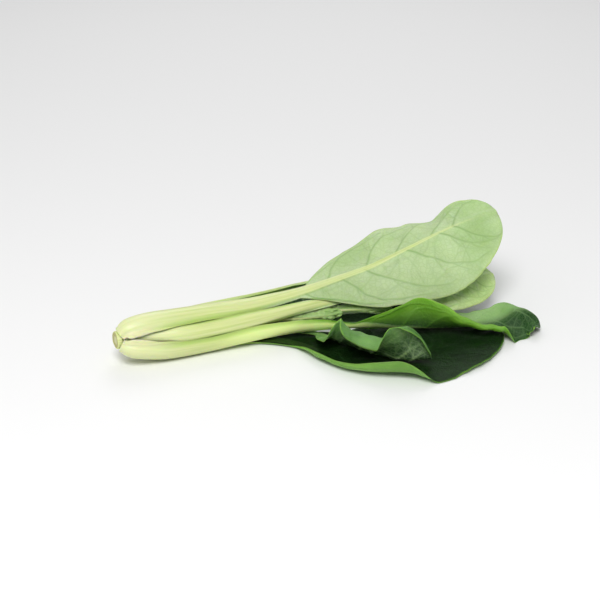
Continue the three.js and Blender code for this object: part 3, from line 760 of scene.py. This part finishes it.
def stem_shell(rng):
    """Vertices, faces and point values of the stem, with an uneven cut face."""
    angle = np.arange(STEM_SIDES) / STEM_SIDES * 2 * np.pi
    cut = np.linspace(STEM_HUB, 1, STEM_RINGS)
    side = np.linspace(0, 1, STEM_STEPS + 1)[1:]
    knots = np.array(STEM_PROFILE, float)
    run = np.concatenate([[0], np.cumsum(np.linalg.norm(np.diff(knots, axis=0), axis=1))])
    side_x = np.interp(side * run[-1], run, knots[:, 0])
    side_r = np.interp(side * run[-1], run, knots[:, 1])
    rim = knots[0, 1]
    lip = RIND_LIP * (1 - np.exp(-((cut - LIP_AT[0]) / LIP_AT[1]) ** 2))
    x = np.concatenate([CUT_DISH * (1 - cut ** 2) + lip, side_x])
    radius = np.concatenate([rim * cut, side_r])
    ring, turn = np.meshgrid(np.arange(len(x)), angle, indexing="ij")
    r = radius[ring]
    bumps = lattice_noise(np.cos(turn) * r, np.sin(turn) * r + x[ring] / 2, BUMP_CELL, rng)
    on_cut = ring < STEM_RINGS
    deep = np.maximum(x[ring] + np.where(on_cut, CUT_UNEVEN * bumps, 0), 0)
    three_sided = 1 + np.sin(3 * turn + 1)
    shrunk = r * (1 - OUT_OF_ROUND * three_sided - SIDE_UNEVEN * (1 + bumps))
    vertices = np.stack(
        [deep, -np.cos(turn) * shrunk, CUT_HEIGHT + np.sin(turn) * shrunk], axis=-1)
    index = np.arange(ring.size).reshape(ring.shape)
    a, b = index[:-1], index[1:]
    quads = np.stack([a, b, np.roll(b, -1, axis=1), np.roll(a, -1, axis=1)], axis=-1).reshape(-1, 4)
    faces = quads.tolist() + [index[0].tolist(), index[-1, ::-1].tolist()]
    values = {
        "cut": on_cut.astype(float).ravel(),
        "radius": (r / rim).ravel(),
        "turn": (np.cos(turn) * r).ravel(),
        "rise": (np.sin(turn) * r).ravel(),
    }
    return vertices.reshape(-1, 3), faces, values


# ------------------------------------------------------------
# Materials
# ------------------------------------------------------------

def linear(colour):
    """Shader colour of an sRGB colour from 0 to 255."""
    srgb = np.array(colour) / 255
    low = srgb / 12.92
    high = ((srgb + 0.055) / 1.055) ** 2.4
    return (*np.where(srgb <= 0.04045, low, high).tolist(), 1.0)


class Nodes:
    """Short calls that build the nodes of one material."""

    def __init__(self, name):
        self.material = bpy.data.materials.new(name)
        self.material.use_nodes = True
        self.tree = self.material.node_tree
        self.shader = self.tree.nodes["Principled BSDF"]

    def add(self, kind, inputs, **settings):
        """A node with its settings and its inputs, which are values or sockets."""
        node = self.tree.nodes.new("ShaderNode" + kind)
        for key, value in settings.items():
            setattr(node, key, value)
        for key, value in inputs.items():
            self.put(node, key, value)
        return node

    def put(self, node, key, value):
        """Sets one input of a node."""
        if isinstance(value, bpy.types.NodeSocket):
            self.tree.links.new(value, node.inputs[key])
        else:
            node.inputs[key].default_value = value

    def point(self, name):
        """A value kept on the mesh's points."""
        return self.add("Attribute", {}, attribute_name=name).outputs["Fac"]

    def math(self, operation, *values):
        """The result of an operation on values."""
        return self.add("Math", dict(enumerate(values)), operation=operation).outputs[0]

    def ramp(self, value, start, end, low=0.0, high=1.0):
        """A value eased from low at start to high at end."""
        inputs = {"Value": value, "From Min": start, "From Max": end, "To Min": low, "To Max": high}
        return self.add("MapRange", inputs, interpolation_type="SMOOTHSTEP").outputs["Result"]

    def times(self, first, second):
        """The product of two values."""
        return self.math("MULTIPLY", first, second)

    def plane(self, x, y):
        """A vector of two values."""
        return self.add("CombineXYZ", {0: x, 1: y}).outputs[0]

    def noise(self, vector, scale, detail, rough=0.5):
        """Noise around 0.5."""
        inputs = {"Vector": vector, "Scale": scale, "Detail": detail, "Roughness": rough}
        return self.add("TexNoise", inputs).outputs["Fac"]

    def blend(self, share, *colours):
        """A mix of two colours, which are sRGB colours or sockets."""
        node = self.add("Mix", {"Factor": share}, data_type="RGBA")
        for key, colour in zip((6, 7), colours):
            self.put(node, key, linear(colour) if isinstance(colour, tuple) else colour)
        return node.outputs[2]

    def bump(self, height, distance):
        """Relief of a height in metres."""
        return self.add("Bump", {"Height": height, "Distance": distance}).outputs["Normal"]

    def finish(self, **inputs):
        """Sets the shader's inputs."""
        for key, value in inputs.items():
            self.put(self.shader, key.replace("_", " "), value)
        return self.material


# The leaf materials. Colours are sRGB from 0 to 255 and lengths are millimetres.
RIB_FADE = (10, 36)       # along the blade, where a rib takes the blade's colour
TIP_PAINTED_LIGHT = (62, 100)     # where the inner face gets its lighter tip, a painted sheen where the tip catches the light
TIP_SIDE = (-4, 6)        # across the rib, where that begins
RIB_SHADE_FADE = (0.1, 0.85)   # share of a half blade where the painted shade near the rib ends
RIM = (0.95, 1)           # and where the edge gets its own
RIM_TINT = 0.6
CLOUD_SCALE = 38          # patches of colour on a blade, per metre
CLOUD_EASE = (0.3, 0.7)
NET_SCALE = 0.42          # meshes of the finest veins, per millimetre
NET_LINE = 0.14           # width of their lines as a share of a mesh
NET_TINT = 0.22
OUTER_TINT = 0.75         # strength of the veins' colour on the outer face
INNER_TINT = 0.6
STREAKS = (0.02, 0.9)     # the stalk's streaks along and across it, per millimetre
STREAK_EASE = (0.3, 0.9)
BASE_FADE = (4, 45)       # from the base, where the stalk's palest colour ends
BASE_TINT = 0.5
FAR_SHADING_FADE = (40, 80)       # where it gets its far colour, painted light on the dark skin and painted shade on the shade skin
FLANK_SHADE_FROM = (12, 38)     # where its flanks get their painted shade, the saturated green of the crevices between stalks
FLANK_SHADE_SIDE = (0.6, 1)     # shares of its half width where they begin
FLANK_SHADE_TINT = 0.75
GRAIN_SCALE = 2600        # finest relief, per metre; its height and the others are shares of RELIEF
GRAIN_HIGH = 0.35
NET_HIGH = 0.5
RIDGE_HIGH = 0.7
RELIEF = 0.00012          # depth of the relief, in metres
STALK_PALE = (215, 222, 160)
STALK_GREEN = (186, 204, 122)
STALK_BASE = (232, 234, 192)
# painted shade: the saturated green that the stalks' flanks take where neighbouring stalks shade
# them
STALK_FLANK_SHADE = (162, 194, 90)
PALE_EDGE = (150, 186, 96)

# outer, inner, veins and tip are pairs of colours. rib_in is how much of the stalk's colour the
# rib has on the inner face, rib_far how much it keeps along the blade. tip is the inner face's
# colour on the lower side near the tip, a painted sheen; core the outer face's colour near the
# rib, painted shade; and far_stalk_shading the stalk's colour away from the crown, painted light on
# the dark skin and painted shade on the shade skin.
SKINS = {
    "pale": {
        "outer": ((184, 204, 154), (166, 191, 132)), "inner": ((84, 132, 60), (104, 152, 76)),
        "veins": ((116, 154, 78), (190, 214, 140)), "edge": PALE_EDGE, "rib_far": 0.8,
    },
    # painted light: the outer colours are brighter and more saturated than the pale skin's, to
    # offset the shadow that leaf_top casts on leaf_middle
    "middle": {
        "outer": ((208, 228, 170), (186, 210, 140)), "inner": ((60, 108, 44), (78, 126, 56)),
        "veins": ((116, 152, 76), (150, 186, 104)), "edge": PALE_EDGE, "rib_far": 0.6,
    },
    # painted light and shade: the outer colours brighten the leaf's green to a saturated
    # yellow-green for light shining through the blade; the inner colours darken its own dark green
    # further as painted shade; the low rib_far fades the pale rib into the blade, partly because
    # the rib turns away and partly as painted shade; tip is a painted sheen, core painted shade
    # near the rib, and far_stalk_shading painted light against the shadow of leaf_middle
    "dark": {
        "outer": ((134, 182, 60), (108, 160, 40)), "inner": ((26, 56, 24), (42, 80, 34)),
        "veins": ((96, 146, 50), (126, 162, 104)), "edge": (96, 142, 58),
        "rib_in": 0.3, "rib_far": 0.15, "tip": ((116, 162, 84), (156, 192, 124)),
        "rib_shade": (44, 76, 32), "far_stalk_shading": (228, 243, 162),
    },
    # painted shade: the nearly black inner colours, the dark inner veins, the rib hidden by rib_in
    # and rib_far, and the darker green far stalk stand for the deep shadow under the other leaves
    "shade": {
        "outer": ((120, 168, 66), (98, 146, 50)), "inner": ((9, 28, 6), (19, 43, 13)),
        "veins": ((90, 138, 48), (30, 58, 24)), "edge": (84, 128, 50),
        "rib_in": 0.1, "rib_far": 0.1, "far_stalk_shading": (96, 146, 60),
    },
    # painted shade: core keeps the cup's hollow dark near the rib
    "cup": {
        "outer": ((126, 166, 96), (58, 100, 42)), "inner": ((122, 164, 94), (56, 100, 42)),
        "veins": ((166, 196, 136), (108, 148, 84)), "edge": (112, 160, 60),
        "rib_in": 0.1, "rib_far": 0.1, "rib_shade": (38, 66, 30),
    },
    "young": {
        "outer": ((156, 186, 116), (128, 164, 86)), "inner": ((74, 118, 50), (92, 136, 64)),
        "veins": ((176, 202, 130), (150, 184, 104)), "edge": PALE_EDGE,
    },
}


def leaf_skin(name, outer, inner, veins, edge, rib_in=0.45, rib_far=1, tip=None, rib_shade=None,
              far_stalk_shading=None):
    """A leaf's surface: pale and veined outside, darker inside, with the painted light and shade of
    its skin.
    """
    n = Nodes(name)
    x = n.point("x")
    y = n.point("y")
    share = n.point("share")
    from_base = n.point("from_base")
    is_inner = n.point("inner")
    kept = n.times(n.ramp(is_inner, 0, 1, 1, rib_in), n.ramp(x, *RIB_FADE, 1, rib_far))
    stalk = n.times(n.point("stalk"), kept)
    spot = n.add("TexCoord", {}).outputs["Object"]

    cloud = n.ramp(n.noise(spot, CLOUD_SCALE, 3), *CLOUD_EASE)
    outer_colour = n.blend(cloud, *outer)
    # painted shade: the outer face darkens towards the rib, under the blade's own overhang and in
    # its hollow
    if rib_shade:
        outer_colour = n.blend(n.ramp(share, *RIB_SHADE_FADE), rib_shade, outer_colour)
    inner_colour = n.blend(cloud, *inner)
    # painted light: a lighter grey-green sheen on the inner face near the tip, on the lower side
    # only
    if tip:
        painted_light_at_tip = n.times(n.ramp(x, *TIP_PAINTED_LIGHT), n.ramp(y, *TIP_SIDE))
        inner_colour = n.blend(painted_light_at_tip, inner_colour, n.blend(cloud, *tip))
    net = n.add(
        "TexVoronoi", {"Vector": n.plane(x, y), "Scale": NET_SCALE, "Randomness": 0.9},
        feature="DISTANCE_TO_EDGE",
    ).outputs["Distance"]
    net_line = n.ramp(net, 0, NET_LINE, 1, 0)
    line = n.math("MAXIMUM", n.point("vein"), n.times(net_line, NET_TINT))
    outer_colour = n.blend(n.times(line, OUTER_TINT), outer_colour, veins[0])
    inner_colour = n.blend(n.times(line, INNER_TINT), inner_colour, veins[1])
    blade = n.blend(is_inner, outer_colour, inner_colour)
    blade = n.blend(n.times(n.ramp(share, *RIM), RIM_TINT), blade, edge)

    streak = n.noise(n.plane(n.times(x, STREAKS[0]), n.times(y, STREAKS[1])), 1, 2)
    stalk_colour = n.blend(n.ramp(streak, *STREAK_EASE), STALK_PALE, STALK_GREEN)
    at_base = n.times(n.ramp(from_base, *BASE_FADE, 1, 0), BASE_TINT)
    stalk_colour = n.blend(at_base, stalk_colour, STALK_BASE)
    # painted light and shade: away from the crown the stalk is lightened on the dark skin and
    # darkened on the shade skin
    if far_stalk_shading:
        stalk_colour = n.blend(n.ramp(from_base, *FAR_SHADING_FADE), stalk_colour, far_stalk_shading)
    # painted shade: the stalk's flanks turn a saturated green towards the neighbouring stalks
    flank_shade = n.times(n.ramp(n.point("across"), *FLANK_SHADE_SIDE), n.ramp(from_base, *FLANK_SHADE_FROM))
    stalk_colour = n.blend(n.times(flank_shade, FLANK_SHADE_TINT), stalk_colour, STALK_FLANK_SHADE)

    grain = n.noise(spot, GRAIN_SCALE, 2)
    relief = n.math("ADD", n.times(grain, GRAIN_HIGH), n.times(net_line, NET_HIGH))
    relief = n.times(relief, n.math("SUBTRACT", 1, stalk))
    ridges = n.times(n.times(streak, stalk), RIDGE_HIGH)
    return n.finish(
        Base_Color=n.blend(stalk, blade, stalk_colour),
        Roughness=n.ramp(stalk, 0, 1, 0.5, 0.36),
        Normal=n.bump(n.math("ADD", relief, ridges), RELIEF),
        Subsurface_Weight=0.75,
        Subsurface_Radius=(1, 1.4, 0.45),
        Subsurface_Scale=0.001,
        Specular_IOR_Level=n.ramp(is_inner, 0, 1, 0.45, 0.12),
    )


# The cut end. Shares are of the cut face's radius, scales are per millimetre.
MOTTLE_SCALE = 1.4
FACE_EASE = (0.35, 0.68)
RIND_EASE = (0.4, 0.7)
PITH_END = (0.35, 0.62)
BUNDLE_SCALE = 1.5        # vascular bundles, which form a ring
BUNDLE_SIZE = (0.1, 0.4)
RING_FROM = (0.6, 0.7)
RING_TO = (0.84, 0.92)
RING_TINT = 0.6
RIND_FROM = (0.9, 1)


def stem_skin():
    """The cut end: a dried buff face with a paler pith, and a yellow-green rind."""
    n = Nodes("cut_stem_skin")
    radius = n.point("radius")
    plane = n.plane(n.point("turn"), n.point("rise"))
    mottle = n.noise(plane, MOTTLE_SCALE, 4, 0.6)
    buff = n.blend(n.ramp(mottle, *FACE_EASE), (200, 198, 138), (164, 158, 98))
    pith = n.blend(n.ramp(radius, *PITH_END), (214, 216, 164), buff)
    bundles = n.add("TexVoronoi", {"Vector": plane, "Scale": BUNDLE_SCALE}).outputs["Distance"]
    in_ring = n.times(n.ramp(radius, *RING_FROM), n.ramp(radius, *RING_TO, 1, 0))
    ring = n.times(n.ramp(bundles, *BUNDLE_SIZE, 1, 0), in_ring)
    face = n.blend(n.times(ring, RING_TINT), pith, (150, 136, 92))
    face = n.blend(n.ramp(radius, *RIND_FROM), face, (212, 218, 140))
    rind = n.blend(n.ramp(mottle, *RIND_EASE), (224, 230, 166), (202, 214, 128))
    return n.finish(
        Base_Color=n.blend(n.point("cut"), rind, face),
        Roughness=0.7,
        Normal=n.bump(n.math("ADD", mottle, bundles), 0.0002),
        Subsurface_Weight=0.2,
        Subsurface_Radius=(0.7, 1.0, 0.35),
        Subsurface_Scale=0.0016,
    )


# ------------------------------------------------------------
# Stage, light and camera
# ------------------------------------------------------------

VIEW_AZIMUTH = math.radians(-26)
VIEW_ELEVATION = math.radians(23)
VIEW_DISTANCE = 0.74
VIEW_TARGET = (0.0905, -0.0349, 0.0338)   # what the camera looks at, from the head's origin
LENS = 85
FLOOR_HALF = 3            # half the width of the floor
FLOOR_WHITE = (0.9, 0.9, 0.9, 1)
FLOOR_ROUGH = 0.8
SURROUND = 0.42           # strength of the white surround
LIGHTS = {                # place from what the camera looks at, size, power
    "key": ((-0.5, -0.8, 1.1), 0.6, 16),
    "back": ((0.5, 1.0, 1.0), 0.8, 4),
}


def aimed(made, where, target):
    """Puts an object somewhere and turns its -Z axis to the target."""
    made.location = where
    made.rotation_euler = (target - where).to_track_quat("-Z", "Y").to_euler()
    bpy.context.scene.collection.objects.link(made)


def add_camera(target):
    """The camera at the main view."""
    data = bpy.data.cameras.new("camera")
    data.lens = LENS
    back = Vector((
        math.sin(VIEW_AZIMUTH) * math.cos(VIEW_ELEVATION),
        -math.cos(VIEW_AZIMUTH) * math.cos(VIEW_ELEVATION),
        math.sin(VIEW_ELEVATION),
    ))
    camera = bpy.data.objects.new("camera", data)
    aimed(camera, target + back * VIEW_DISTANCE, target)
    bpy.context.scene.camera = camera


def add_lights(target):
    """The square soft lights."""
    for name, (where, size, power) in LIGHTS.items():
        data = bpy.data.lights.new(name, "AREA")
        data.size = size
        data.energy = power
        aimed(bpy.data.objects.new(name, data), target + Vector(where), target)


def add_stage():
    """A plain pale floor and a soft pale surround."""
    corners = [(x * FLOOR_HALF, y * FLOOR_HALF, 0) for x, y in ((-1, -1), (1, -1), (1, 1), (-1, 1))]
    mesh = bpy.data.meshes.new("floor")
    mesh.from_pydata(corners, [], [(0, 1, 2, 3)])
    paper = Nodes("floor_paper").finish(Base_Color=FLOOR_WHITE, Roughness=FLOOR_ROUGH)
    mesh.materials.append(paper)
    floor = bpy.data.objects.new("floor", mesh)
    bpy.context.scene.collection.objects.link(floor)
    world = bpy.data.worlds.new("surround")
    world.use_nodes = True
    background = world.node_tree.nodes["Background"]
    background.inputs["Color"].default_value = (1, 1, 1, 1)
    background.inputs["Strength"].default_value = SURROUND
    bpy.context.scene.world = world


# ------------------------------------------------------------
# Everything together
# ------------------------------------------------------------

FIRST_SEED = 10           # seed of the first leaf's random draws
STEM_SEED = 1

skins = {name: leaf_skin(name + "_leaf", **skin) for name, skin in SKINS.items()}
stem = stem_shell(np.random.default_rng(STEM_SEED))
make_piece("cut_stem_fresh", "stem_base", "cut_stem", *stem, stem_skin())
for seed, (name, leaf) in enumerate(LEAVES.items(), start=FIRST_SEED):
    shell = leaf_shell(leaf, np.random.default_rng(seed))
    make_piece(name + "_fresh", name, "leaf", *shell, skins[leaf["skin"]])

centre = Vector(HEAD_ORIGIN) + Vector(VIEW_TARGET)
add_camera(centre)
add_stage()
add_lights(centre)
bpy.context.scene.view_settings.view_transform = "Standard"
